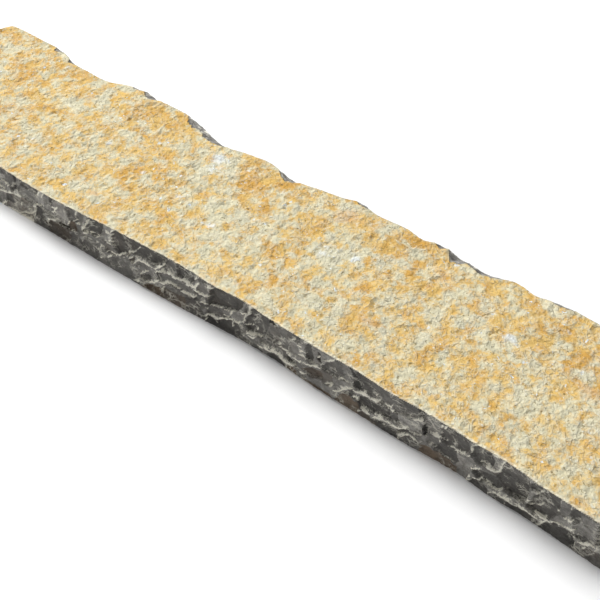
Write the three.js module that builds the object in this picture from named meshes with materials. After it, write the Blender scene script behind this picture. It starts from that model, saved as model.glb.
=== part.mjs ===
// Limestone edging stone: one long slab, left as it broke. The top is the natural bed of the rock,
// the long sides and the ends are faces broken off by hammer blows, and the underside is flat.
// Units are millimetres. +X runs along the stone, -Y is the dressed front side and +Z is up.
// The origin is the middle of the underside.

import * as THREE from "three";
import { mergeVertices } from "three/addons/utils/BufferGeometryUtils.js";

const LENGTH = 1000;
const HEIGHT = 51; // from the underside to the mean level of the top

const CELLS_ALONG = 84;
const CELLS_ACROSS = 14;
const CELLS_UP = 6;

const GRAIN = 1.1; // how far each corner of a cell strays, which gives the stone its small facets
const GRAIN_SEED = 7;

const STONE_COLOR = 0xcdb583;
const STONE_ROUGHNESS = 0.9;

// Edges in plan, as [x, y]. Each wanders a few millimetres to either side of a straight run.
const FRONT_TOP_EDGE = [
  [-500, -105], [-400, -107], [-320, -104], [-248, -105], [-212, -106], [-150, -105], [-105, -102],
  [-63, -99], [-8, -96.5], [33, -95.5], [61, -97], [97, -94.5], [138, -97], [199, -98],
  [240, -97.5], [279, -99.5], [309, -98.5], [371, -100], [400, -100], [430, -103], [476, -105],
  [500, -106],
];
const FRONT_BOTTOM_EDGE = [
  [-500, -104], [-370, -107], [-248, -106], [-148, -104.5], [-88, -104], [-18, -102], [27, -100],
  [72, -97], [123, -94.5], [150, -95], [180, -97], [235, -98], [300, -98.5], [340, -96.5],
  [358, -96.5], [380, -99], [420, -99], [457, -101.5], [500, -104],
];
const BACK_EDGE = [
  [-500, 92], [-491, 106], [-480, 108.5], [-440, 110], [-405, 108.5], [-380, 102.5], [-360, 96],
  [-330, 93.5], [-290, 96], [-270, 106], [-255, 108.5], [-225, 104], [-195, 104], [-168, 102.5],
  [-148, 98.5], [-120, 90.5], [-90, 84], [-60, 89.5], [-33, 92.5], [-12, 89], [14, 85],
  [40, 89.5], [70, 94.5], [90, 100.5], [108, 95], [155, 95], [175, 91.5], [190, 97],
  [214, 94.5], [248, 90.5], [285, 95.5], [306, 91.5], [330, 97.5], [357, 96], [400, 94],
  [440, 98], [480, 94], [500, 92],
];
const BACK_BOTTOM_EDGE = [
  [-500, 95], [-410, 103], [-300, 96], [-190, 102], [-100, 92], [10, 88], [90, 94], [230, 94],
  [340, 91], [430, 96], [500, 91],
];

// Chips off the upper back edge: middle x, half length, how far the top is set back there, and how
// far the chip reaches down.
const BACK_CHIPS = [
  [-405, 9, 6, 4], [-366, 9, 3, 3], [-260, 16, 3.5, 4], [-238, 13, 6, 5], [-140, 32, 9, 10],
  [-2, 20, 5, 8], [88, 9, 2, 4], [214, 20, 14, 11], [246, 26, 5, 6], [331, 10, 3, 4],
  [430, 18, 7, 7],
];
const CHIP_FLARE = 0.9; // how far a chip's lower lip stands out, as a share of its depth

// The ends, as [y, distance past the nominal end].
const LEFT_END = [[-107, -3], [-60, 3], [0, -1], [60, 3], [92, 2], [109, -8]];
const RIGHT_END = [[-107, -2], [-50, 2], [10, -2], [60, 1], [100, -4]];

// Flake scars on the side faces: centre [x, z], half sizes along x and z, and depth.
const FRONT_SCARS = [
  [-455, 34, 38, 20, 6], [-385, 28, 42, 22, 5], [-320, 36, 34, 20, 6], [-270, 16, 30, 16, 5],
  [-237, 43, 20, 12, 4], [-200, 40, 24, 15, 4], [-190, 15, 17, 13, 6], [-150, 10, 34, 15, 6],
  [-102, 40, 24, 16, 6], [-48, 42, 38, 15, 6], [-30, 10, 30, 14, 4], [24, 43, 32, 14, 5],
  [25, 10, 34, 13, 5], [77, 34, 34, 22, 8], [127, 34, 30, 22, 8], [202, 14, 48, 16, 6],
  [184, 42, 24, 14, 5], [222, 39, 22, 17, 5], [255, 24, 24, 16, 6], [294, 40, 26, 15, 5],
  [335, 38, 26, 16, 5], [380, 43, 20, 13, 5], [409, 33, 25, 21, 8], [420, 8, 26, 10, 5],
  [456, 14, 24, 13, 6], [470, 40, 28, 15, 5],
];
const BACK_SCARS = [
  [-455, 24, 44, 24, 7], [-375, 30, 48, 20, 6], [-290, 18, 50, 20, 8], [-205, 26, 44, 20, 6],
  [-125, 18, 52, 22, 8], [-45, 26, 48, 20, 7], [40, 20, 52, 20, 7], [125, 24, 46, 22, 6],
  [205, 16, 48, 18, 8], [285, 26, 46, 20, 6], [365, 20, 48, 22, 7], [450, 22, 44, 22, 7],
];

// Swells of the top, as [wavelength in x, wavelength in y, height, phase].
const TOP_SWELLS = [[610, 340, 1.1, 0.4], [237, 182, 0.8, 2.1], [93, 71, 0.5, 4.4]];

const FULL_TURN = 2 * Math.PI;

/** A smooth line through [position, offset] points, as a function of the position. */
function smoothLine(points) {
  const positions = points.map(([position]) => position);
  const offsets = points.map(([, offset]) => offset);
  const line = new THREE.CubicInterpolant(positions, offsets, 1);
  return (position) => line.evaluate(position)[0];
}

const frontTop = smoothLine(FRONT_TOP_EDGE);
const frontBottom = smoothLine(FRONT_BOTTOM_EDGE);
const backEdge = smoothLine(BACK_EDGE);
const backBottom = smoothLine(BACK_BOTTOM_EDGE);
const leftEnd = smoothLine(LEFT_END);
const rightEnd = smoothLine(RIGHT_END);

/** How deep the scars cut a side face at this point: each scar is a round-bottomed dish. */
function scarDepth(scars, x, z) {
  const depths = scars.map(([centreX, centreZ, halfX, halfZ, depth]) => {
    const distance = Math.hypot((x - centreX) / halfX, (z - centreZ) / halfZ);
    return depth * Math.max(0, 1 - distance ** 2);
  });
  return Math.max(...depths);
}

/** The front side at this place and height, between its upper and lower edges. */
function frontSide(x, z) {
  const y = THREE.MathUtils.mapLinear(z, 0, HEIGHT, frontBottom(x), frontTop(x));
  return y + scarDepth(FRONT_SCARS, x, z);
}

/** How much a chip takes at this x, as [set-back of the top, depth]: most at the chip's middle. */
function chipAt(x) {
  const cuts = BACK_CHIPS.map(([middle, half, setBack, depth]) => {
    const share = Math.max(0, 1 - ((x - middle) / half) ** 2);
    return [setBack * share, depth * share];
  });
  return [Math.max(...cuts.map(([setBack]) => setBack)), Math.max(...cuts.map(([, depth]) => depth))];
}

/** The back side: a chip slopes out from the set-back top to its lip, and the side runs down. */
function backSide(x, z) {
  const [setBack, depth] = chipAt(x);
  const lip = backEdge(x) + CHIP_FLARE * depth;
  if (z === HEIGHT) return backEdge(x) - setBack;
  const y = THREE.MathUtils.mapLinear(z, 0, HEIGHT, backBottom(x), lip);
  return y - scarDepth(BACK_SCARS, x, z);
}

/** The level of the top above or below its mean. */
function swell(x, y) {
  const waves = TOP_SWELLS.map(
    ([waveX, waveY, height, phase]) => height * Math.sin(FULL_TURN * (x / waveX + y / waveY) + phase),
  );
  return waves.reduce((sum, wave) => sum + wave);
}

/** A small random shift to either side, the next in the seeded series. */
function grain() {
  return THREE.MathUtils.mapLinear(THREE.MathUtils.seededRandom(), 0, 1, -GRAIN, GRAIN);
}

/** A box of small cells, closed: its faces share their corners. */
function cellBox() {
  const box = new THREE.BoxGeometry(LENGTH, 1, HEIGHT, CELLS_ALONG, CELLS_ACROSS, CELLS_UP);
  box.deleteAttribute("normal");
  box.deleteAttribute("uv");
  return mergeVertices(box);
}

/** The slab: each corner of the box of cells is moved onto the surface of the stone. */
function stoneGeometry() {
  const slab = cellBox();
  const corners = slab.getAttribute("position");
  const corner = new THREE.Vector3();
  THREE.MathUtils.seededRandom(GRAIN_SEED);
  for (let i = 0; i < corners.count; i++) {
    corner.fromBufferAttribute(corners, i);
    const across = corner.y + 0.5;
    const along = corner.x / LENGTH + 0.5;
    const z = corner.z + HEIGHT / 2;
    const y = THREE.MathUtils.lerp(frontSide(corner.x, z), backSide(corner.x, z), across);
    const x = corner.x + THREE.MathUtils.lerp(-leftEnd(y), rightEnd(y), along);
    const rise = (z / HEIGHT) * (swell(x, y) + grain()); // none on the flat underside
    corners.setXYZ(i, x + grain(), y + grain(), z + rise);
  }
  slab.computeBoundingBox();
  const middle = slab.boundingBox.getCenter(new THREE.Vector3());
  slab.translate(-middle.x, -middle.y, -slab.boundingBox.min.z);
  slab.computeVertexNormals();
  return slab;
}

const limestone = new THREE.MeshStandardMaterial({
  color: STONE_COLOR,
  roughness: STONE_ROUGHNESS,
  metalness: 0,
  flatShading: true,
});
const stone = new THREE.Mesh(stoneGeometry(), limestone);
stone.name = "edging_stone";

const part = new THREE.Group();
part.add(stone);

export default part;
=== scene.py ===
import math

import bpy
import numpy as np
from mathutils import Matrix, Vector


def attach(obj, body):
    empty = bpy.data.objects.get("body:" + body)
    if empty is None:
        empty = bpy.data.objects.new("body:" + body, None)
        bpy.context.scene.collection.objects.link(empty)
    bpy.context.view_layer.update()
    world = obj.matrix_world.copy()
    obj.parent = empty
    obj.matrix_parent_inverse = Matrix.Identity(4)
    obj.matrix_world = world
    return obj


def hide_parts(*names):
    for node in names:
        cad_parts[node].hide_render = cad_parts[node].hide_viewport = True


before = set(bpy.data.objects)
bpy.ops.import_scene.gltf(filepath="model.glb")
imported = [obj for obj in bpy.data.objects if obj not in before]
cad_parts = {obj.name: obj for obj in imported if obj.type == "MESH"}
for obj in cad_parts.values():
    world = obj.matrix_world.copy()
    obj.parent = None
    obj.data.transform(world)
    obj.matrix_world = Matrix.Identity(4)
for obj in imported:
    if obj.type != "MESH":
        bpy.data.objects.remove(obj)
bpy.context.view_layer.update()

# Lengths in the dictionaries below are in millimetres, but for the studio's, which are in metres.
# x runs along the stone, y from its dressed front side to the back, and h is the height above the
# underside.
mm = 0.001

view = {
    "lookAt": (140.5, -58.4, 51.0),
    "azimuth": 41.26,       # degrees round from the front side
    "elevation": 40.31,
    "distance": 1090.0,
    "lens": 70.2,
    "sensor": 36,
}

studio = {
    "sky": 0.15,
    # each distant lamp: strength, direction it comes from, spread in radians
    "lamps": {
        "key": (1.35, (-0.30, 0.32, 0.90), 0.6),
        "overhead": (0.92, (0, 0, 1), 1.5),
    },
    # the lamp off the left end, whose light fades along the stone: watts, place and width
    "rake": (174, (-4.1, 0.14, 2.5), 1.2),
    "floorShade": 0.93,
    "floorSize": 8,
}

stone = {
    "length": 1000.0,
    "height": 51.0,
    "middle": (-0.85, 1.30),  # of the outlines' box, which is put on the frame's origin
    "stations": 480,        # mesh sections along the length; the front has twice as many
    "rowsFront": 52,
    "rowsTop": 70,
    "rowsBack": 17,
    "rowsUnder": 4,
    "endRings": 17,
    "endCore": (82.0, 5.0),  # half width and height of the line that the end rings close onto
    "endShrink": 0.985,     # how much of the way to that line the last ring goes
    "arrisFade": (0.1, 3.0),  # share of the scars left at the front arris, and the height they fade over
    "bottomFade": 5.0,      # the height over which they fade towards the bottom
    "frontFoot": 0.15,      # share of them left at the bottom of the front
    "backFoot": 0.4,        # and of the back
    "endFade": 12.0,        # the side scars fade out over this length before an end
    "hollows": [(1.2, 60, 71), (0.6, 25, 72)],  # of the underside: height, size and seed
    "crisp": 0.55,          # edges bent further than this, in radians, stay sharp
}

# edges in plan, as (x, y)
outlines = {
    "frontTop": [
        (-500, -105), (-400, -107), (-320, -104), (-248, -105), (-212, -106), (-150, -105),
        (-105, -102), (-63, -99), (-8, -96.5), (33, -95.5), (61, -97), (97, -94.5), (138, -97),
        (199, -98), (240, -97.5), (279, -99.5), (309, -98.5), (371, -100), (400, -100),
        (430, -103), (476, -105), (500, -106),
    ],
    "frontBottom": [
        (-500, -104), (-370, -107), (-248, -106), (-148, -104.5), (-88, -104), (-18, -102),
        (27, -100), (72, -97), (123, -94.5), (150, -95), (180, -97), (235, -98), (300, -98.5),
        (340, -96.5), (358, -96.5), (380, -99), (420, -99), (457, -101.5), (500, -104),
    ],
    "backTop": [
        (-500, 108.5), (-480, 109), (-440, 108), (-405, 107), (-382, 102), (-360, 95.5),
        (-330, 93.5), (-290, 95), (-270, 105), (-255, 108.5), (-225, 104),
        (-195, 104), (-168, 102.5), (-148, 98.5), (-120, 90.5), (-90, 84), (-60, 89.5),
        (-33, 92.5), (-12, 89), (14, 85), (40, 89.5), (70, 94.5), (90, 100.5), (108, 95),
        (155, 95), (175, 91.5), (190, 97), (214, 94.5), (248, 90.5), (285, 95.5), (306, 91.5),
        (330, 97.5), (357, 96), (400, 94), (440, 98), (480, 94), (500, 92),
    ],
    "backBottom": [
        (-500, 95), (-410, 103), (-300, 96), (-190, 102), (-100, 92), (10, 88), (90, 94),
        (230, 94), (340, 91), (430, 96), (500, 91),
    ],
}

# the ends, as (y, distance past the nominal end)
endLines = {
    "left": [(-107, -3), (-60, 3), (0, -1), (60, 3), (92, 3), (103, -2.5), (110, -8)],
    "right": [(-107, -2), (-50, 2), (10, -2), (60, 1), (100, -4)],
}

# chips off the upper back edge: middle x, half length, how far the top is set back, depth
backChips = {
    "flare": 0.9,           # how far a chip's lower lip stands out, as a share of its depth
    "least": 0.8,           # the depth of the bruised edge where there is no chip
    "power": 1.3,           # a chip is a parabola to this power, so it draws in to its middle
    "slopeRows": 0.2,       # share of the back's rows that lie on the slope of the chips
    # how ragged the ends of the chips and their set-back are, and the grain of their slope, each
    # as height, size and seed
    "stray": [(1.5, 9, 41), (1, 5, 42)],
    "jag": [(0.35, 4.5, 43)],
    "grain": [(0.5, 6, 33), (0.3, 3.2, 34)],
    "chips": [
        (-405, 9, 6, 4), (-366, 9, 4, 3), (-259, 13, 5, 3), (-236, 18, 7, 4), (-148, 23, 10, 8),
        (-118, 30, 9, 7), (1, 17, 8, 7), (92, 10, 4.5, 4), (194, 8, 6, 5), (217, 15, 13, 9),
        (248, 30, 6, 6), (332, 14, 4, 4), (430, 18, 7, 7),
    ],
}

# Flake scars of the front, right of its random run: depth, tone, how brown, then the (x, h) corners
# clockwise. The tone is the rock's own lightness together with painted light and shade of the
# facets that face towards or away from the light. A scar is the ground inside all of its straight
# sides, flat, and deepest along its foot.
frontScars = [
    # under the arris
    (3, 0.95, 0, (-256, 31), (-256, 53), (-229, 53), (-228, 37), (-236, 33)),
    (4, 0.6, 0, (-229, 35), (-229, 53), (-221, 53), (-222, 36)),
    (3, 1.15, 0, (-219, 30), (-218, 53), (-199, 54), (-193, 40), (-193, 28), (-205, 25)),
    (4, 0.95, 0, (-216, 44), (-216, 54), (-201, 54), (-198, 46), (-205, 41)),
    (3, 1.1, 0, (-200, 42), (-200, 54), (-191, 53), (-192, 42)),
    (4, 0.75, 0.2, (-194, 40), (-191, 53), (-183, 53), (-189, 42)),
    (2, 1.4, 0, (-190, 30), (-189, 41), (-182, 52), (-176, 52), (-179, 38), (-180, 28)),
    (2.5, 1.15, 0, (-180, 28), (-178, 45), (-175, 53), (-168, 52), (-169, 35), (-172, 28)),
    (3, 0.7, 0, (-169, 42), (-168, 53), (-161, 53), (-164, 43)),
    (2.5, 1, 0, (-172, 24), (-171, 40), (-161, 42), (-160, 25)),
    (2, 1.35, 0.1, (-161, 24), (-158, 50), (-150, 53), (-140, 52), (-140, 30), (-145, 21), (-157, 22)),
    (3, 0.95, 0.1, (-140, 33), (-139, 53), (-129, 53), (-131, 34)),
    (3, 0.95, 0, (-130, 36), (-128, 52), (-115, 52), (-117, 42), (-121, 34)),
    (4, 0.8, 0, (-120, 30), (-113, 42), (-109, 52), (-88, 52), (-90, 42), (-93, 34), (-100, 30)),
    (2, 1.35, 0, (-88, 30), (-90, 47), (-82, 51), (-77, 46), (-77, 32)),
    (4, 0.76, 0.2, (-77, 32), (-75, 44), (-72, 52), (-32, 52), (-40, 42), (-50, 32), (-58, 27),
        (-68, 24)),
    (4, 0.82, 0.1, (-48, 34), (-38, 44), (-30, 52), (2, 52), (-3, 42), (-13, 36)),
    (3.5, 0.95, 0, (-12, 31), (-4, 40), (-1, 52), (8, 52), (13, 46), (14, 36), (2, 34)),
    (2, 1.2, 0, (8, 37), (9, 50), (14, 50), (15, 36)),
    (4.5, 0.85, 0, (14, 36), (15, 52), (36, 52), (38, 40), (32, 35)),
    (2.5, 1.2, 0.1, (37, 38), (36, 51), (44, 51), (45, 41), (42, 38)),
    (2.5, 1.12, 0.1, (44, 32), (45, 41), (48, 52), (51, 52), (60, 42), (57, 32)),
    (3, 0.8, 0.1, (50, 47), (52, 53), (66, 53), (61, 45)),
    (4.5, 0.75, 0.2, (57, 22), (59, 40), (69, 52), (108, 53), (107, 44), (103, 36), (92, 33), (84, 23),
        (72, 18)),
    (2.5, 1.2, 0.1, (86, 20), (87, 31), (92, 33), (104, 36), (104, 30), (101, 23), (96, 21)),
    (3, 0.95, 0.1, (101, 37), (106, 44), (107, 51), (111, 50), (110, 42), (107, 37)),
    (4, 0.8, 0.1, (104, 22), (108, 36), (110, 44), (116, 51), (137, 51), (136, 40), (132, 30),
        (128, 20), (118, 17), (108, 18)),
    (3, 1.05, 0.2, (134, 28), (133, 40), (136, 48), (146, 51), (151, 40), (147, 28), (140, 20)),
    (4, 0.72, 0.2, (137, 46), (139, 52), (147, 52), (145, 47)),
    (2.5, 1.1, 0.1, (148, 24), (149, 36), (150, 51), (160, 51), (162, 34), (158, 23)),
    (3, 0.92, 0.1, (160, 42), (160, 52), (176, 52), (175, 44), (168, 42)),
    (2, 1.3, 0.1, (161, 24), (163, 38), (170, 45), (180, 46), (183, 38), (181, 30), (172, 26)),
    (3, 0.8, 0.1, (182, 30), (184, 42), (184, 50), (190, 50), (191, 36), (190, 29)),
    (2, 1.3, 0.1, (190, 30), (192, 44), (196, 51), (214, 50), (208, 40), (200, 32)),
    (3.5, 0.6, 0.2, (196, 38), (197, 47), (200, 46), (200, 36)),
    (3, 0.9, 0.1, (202, 30), (208, 40), (216, 50), (226, 49), (228, 38), (228, 30), (214, 29)),
    (2.5, 1.2, 0, (226, 30), (225, 49), (235, 48), (238, 36), (236, 30)),
    # a narrow wedge; its dark tone paints the shade inside it
    (2.5, 0.55, 0, (235, 50), (239, 48), (246, 37), (248, 30), (242, 31), (238, 38)),
    (3, 0.85, 0.1, (247, 32), (244, 42), (240, 50), (252, 51), (258, 51), (258, 34), (252, 32)),
    (3, 0.95, 0, (258, 34), (258, 51), (280, 52), (284, 42), (280, 32), (268, 31)),
    (2.5, 1, 0, (281, 32), (284, 44), (283, 51), (292, 46), (293, 34), (290, 32)),
    (3, 0.88, 0, (286, 52), (312, 53), (311, 42), (305, 36), (298, 34), (293, 36)),
    (4, 0.65, 0, (309, 53), (313, 53), (316, 42), (312, 40)),
    (2.5, 1.1, 0.1, (318, 34), (317, 48), (322, 52), (333, 51), (333, 36), (330, 33)),
    (3, 0.85, 0.1, (334, 33), (334, 51), (362, 51), (364, 38), (360, 31), (350, 28), (340, 29)),
    (4, 0.85, 0, (366, 38), (367, 46), (373, 52), (384, 51), (387, 42), (385, 35), (378, 32),
        (369, 33)),
    (2.5, 1.3, 0.1, (386, 35), (386, 51), (393, 51), (394, 36), (391, 31)),
    (4, 0.8, 0.1, (393, 36), (394, 47), (398, 52), (421, 52), (423, 44), (422, 28), (420, 18),
        (400, 18), (392, 26)),
    (2.5, 1.1, 0, (412, 28), (413, 51), (423, 51), (423, 30), (420, 22)),
    (3, 0.8, 0, (424, 41), (426, 48), (432, 51), (438, 51), (432, 42)),
    (4, 0.83, 0.1, (424, 18), (430, 34), (433, 42), (439, 51), (452, 51), (452, 34), (448, 24),
        (440, 17), (430, 15)),
    (2.5, 1.1, 0, (452, 32), (452, 51), (461, 51), (462, 40), (460, 32)),
    (3, 0.82, 0, (461, 38), (463, 48), (470, 51), (472, 42), (468, 36)),
    (2, 1.3, 0, (466, 28), (470, 38), (473, 49), (484, 51), (487, 38), (486, 27), (478, 24), (470, 24)),
    (3, 0.8, 0, (485, 27), (487, 38), (486, 51), (508, 52), (508, 28)),
    # the middle
    (2.5, 1.1, 0, (-260, 20), (-256, 31), (-240, 30), (-232, 29), (-245, 21)),
    # its dark tone paints a small shadow
    (4, 0.7, 0, (-236, 28), (-234, 32), (-227, 33), (-230, 29)),
    (3, 0.75, 0, (-249, 8), (-246, 18), (-240, 22), (-227, 24), (-228, 14), (-238, 9)),
    (2.5, 0.95, 0.5, (-222, 8), (-221, 24), (-212, 28), (-203, 24), (-203, 16), (-214, 8)),
    (3.5, 0.72, 0, (-199, 12), (-198, 22), (-192, 27), (-185, 28), (-179, 22), (-178, 15), (-182, 10)),
    (3.5, 0.72, 0.5, (-182, 8), (-172, 18), (-158, 20), (-141, 21), (-139, 10), (-150, -4), (-172, -5)),
    # its dark tone paints the shadow under the light facet above it
    (4.5, 0.35, 0.5, (-160, 18), (-158, 21), (-143, 22), (-142, 19)),
    (4, 0.75, 0.8, (-143, 20), (-141, 32), (-131, 33), (-130, 24)),
    (2.5, 1.1, 0, (-131, 24), (-130, 34), (-121, 33), (-119, 27), (-124, 22)),
    (2.5, 1.1, 0, (-118, 24), (-113, 29), (-100, 30), (-88, 33), (-84, 28), (-88, 19), (-98, 17),
        (-110, 20)),
    (2.5, 1, 0.2, (-88, 20), (-86, 30), (-77, 31), (-68, 27), (-72, 20)),
    (3, 1, 0, (-72, 18), (-66, 21), (-57, 27), (-50, 22), (-48, 8), (-52, -4), (-70, -4)),
    (2.5, 1.25, 0.1, (-52, 14), (-48, 22), (-38, 20), (-36, 13), (-37, 8), (-50, 8)),
    (3, 0.7, 0.4, (-51, 24), (-46, 31), (-43, 31), (-46, 23)),
    (2.5, 1.2, 0, (-40, 18), (-38, 28), (-30, 30), (-15, 30), (-12, 22), (-20, 17), (-35, 16)),
    (3.5, 0.72, 0.2, (-36, 9), (-35, 14), (-26, 18), (-20, 17), (-24, 11), (-30, 8)),
    (3, 0.65, 0, (-12, 22), (-11, 28), (-7, 28), (-8, 21)),
    (3, 1, 0, (-9, 21), (-8, 29), (2, 32), (15, 31), (17, 23), (4, 20)),
    (2.5, 1.05, 0.1, (17, 22), (18, 31), (37, 31), (38, 24), (36, 21)),
    (2.5, 1.05, 0.1, (-4, 14), (0, 19), (14, 20), (24, 20), (26, 16), (10, 13)),
    (3, 0.85, 0.1, (38, 22), (40, 29), (56, 31), (58, 20), (46, 15)),
    (2.5, 0.95, 0, (96, 12), (98, 20), (104, 24), (106, 18), (103, 12)),
    (3, 0.85, 0.1, (57, 13), (57, 30), (70, 27), (84, 23), (72, 15)),
    (3, 0.85, 0.1, (124, 13), (126, 22), (140, 22), (143, 16), (134, 13)),
    (2.5, 1, 0.1, (142, 15), (144, 22), (157, 22), (158, 14), (148, 12)),
    (4, 0.5, 0, (158, 13), (158, 20), (170, 18), (170, 12)),
    (3, 0.86, 0.5, (170, 14), (175, 21), (190, 23), (194, 26), (200, 26), (202, 18), (190, 12)),
    (2.5, 1, 0.3, (200, 18), (202, 27), (214, 29), (216, 20), (210, 14)),
    (2, 1.25, 0.1, (218, 20), (221, 29), (236, 30), (240, 26), (232, 20), (226, 15), (218, 15)),
    (3, 0.8, 0, (229, 17), (232, 21), (237, 24), (241, 23), (240, 18), (236, 16)),
    (4, 0.74, 0, (243, 13), (243, 20), (250, 26), (256, 29), (268, 28), (270, 18), (256, 13),
        (246, 10)),
    (3, 0.78, 0.1, (268, 19), (269, 30), (280, 31), (281, 20)),
    (2.5, 0.95, 0, (281, 20), (281, 30), (289, 31), (290, 22)),
    (2, 1.35, 0, (286, 24), (288, 32), (298, 34), (310, 38), (313, 30), (313, 20), (300, 18),
        (292, 19)),
    # its dark tone paints the shade inside a small pit
    (3, 0.35, 0, (316, 29), (317, 37), (319, 37), (320, 30), (318, 26)),
    (2.5, 1, 0, (321, 20), (322, 31), (331, 30), (333, 22), (328, 17)),
    (3, 0.8, 0, (330, 15), (332, 24), (338, 28), (350, 27), (352, 18), (350, 13), (338, 12)),
    (2, 1.35, 0.1, (352, 12), (352, 27), (360, 30), (368, 26), (366, 14), (362, 4), (358, -4),
        (352, -4)),
    (4, 0.82, 0, (368, 17), (376, 24), (392, 28), (400, 20), (392, 13), (378, 13)),
    (2, 1.2, 0, (450, 19), (450, 33), (458, 31), (470, 28), (469, 24), (460, 19)),
    (3, 0.78, 0, (462, 20), (470, 24), (478, 24), (490, 28), (490, 21), (482, 20), (474, 14),
        (466, 16)),
    # along the bottom
    (2.5, 1.05, 0, (-264, -6), (-260, 17), (-250, 17), (-249, 8), (-254, -2)),
    (2.5, 0.9, 0, (-249, 6), (-238, 10), (-226, 14), (-222, 8), (-232, -3), (-246, -6)),
    (3, 0.8, 0.1, (-228, -5), (-214, 6), (-200, 12), (-181, 9), (-170, -5)),
    (3, 0.85, 0.1, (-150, -4), (-140, 12), (-140, 20), (-128, 22), (-122, 12), (-128, -4)),
    (3, 0.85, 0.1, (-124, -4), (-122, 16), (-112, 20), (-98, 17), (-96, 6), (-106, -4)),
    (2.5, 1, 0, (-98, -3), (-99, 14), (-93, 18), (-84, 14), (-80, 6), (-84, -3)),
    (2.5, 1, 0, (-86, -4), (-84, 10), (-74, 18), (-62, 20), (-58, 8), (-66, -4)),
    (2.5, 0.95, 0, (-49, 0), (-46, 6), (-37, 8), (-38, 0), (-44, -4)),
    (3, 0.8, 0.9, (-38, -4), (-34, 6), (-22, 9), (-12, 16), (-8, 14), (-5, 4), (-6, -4)),
    (3, 0.82, 0.5, (-4, -4), (-3, 13), (10, 15), (24, 17), (27, 10), (24, -4)),
    (3, 0.78, 0.2, (24, -4), (26, 18), (38, 20), (46, 16), (53, 8), (50, -4)),
    (4, 0.65, 0, (55, -4), (54, 7), (58, 10), (66, 10), (68, 4), (64, -4)),
    (4, 0.75, 0.1, (66, -4), (69, 11), (76, 15), (85, 19), (96, 18), (98, 8), (96, -4)),
    (2.5, 0.92, 0, (97, -4), (98, 10), (106, 10), (118, 6), (130, 5), (122, -4)),
    (3, 0.75, 0, (130, -4), (134, 5), (142, 9), (150, 7), (156, 4), (156, -4)),
    (2.5, 0.92, 0.9, (157, -4), (158, 5), (166, 8), (170, 4), (168, -4)),
    (2.5, 1, 0, (168, 5), (170, 12), (182, 13), (183, 5), (176, 2)),
    (2.5, 0.9, 0.8, (168, -4), (171, 4), (183, 4), (196, 12), (214, 10), (212, -4)),
    (2.5, 1, 0.7, (222, 8), (226, 14), (232, 16), (241, 14), (245, 8), (242, -4), (214, -4)),
    (3, 0.85, 0.4, (243, -4), (246, 8), (258, 8), (266, 3), (266, -4)),
    (3, 0.8, 0, (262, 3), (272, 11), (282, 11), (289, 7), (290, -4), (264, -4)),
    (3, 0.75, 0, (290, 9), (294, 14), (298, 19), (304, 18), (310, 14), (304, 11), (296, 10)),
    (2.5, 0.9, 0, (292, -4), (293, 5), (298, 10), (312, 10), (315, 4), (314, -4)),
    (2.5, 0.98, 0.7, (312, -4), (315, 10), (328, 14), (338, 12), (351, 12), (352, -4)),
    (3, 0.8, 0, (367, -4), (369, 8), (376, 11), (384, 9), (386, 3), (383, -4)),
    (2.5, 1.1, 0, (384, -4), (388, 8), (392, 8), (392, -4)),
    (3, 0.85, 0, (390, -4), (392, 7), (401, 6), (403, -4)),
    (3, 0.82, 0, (403, -4), (404, 6), (420, 8), (428, 8), (436, 6), (437, -4)),
    (4, 0.75, 0, (438, -4), (437, 6), (442, 12), (450, 17), (461, 19), (470, 14), (468, 4), (466, -4)),
    (2.5, 0.95, 0.2, (468, -4), (470, 12), (480, 16), (490, 18), (508, 18), (508, -4)),
]

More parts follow.
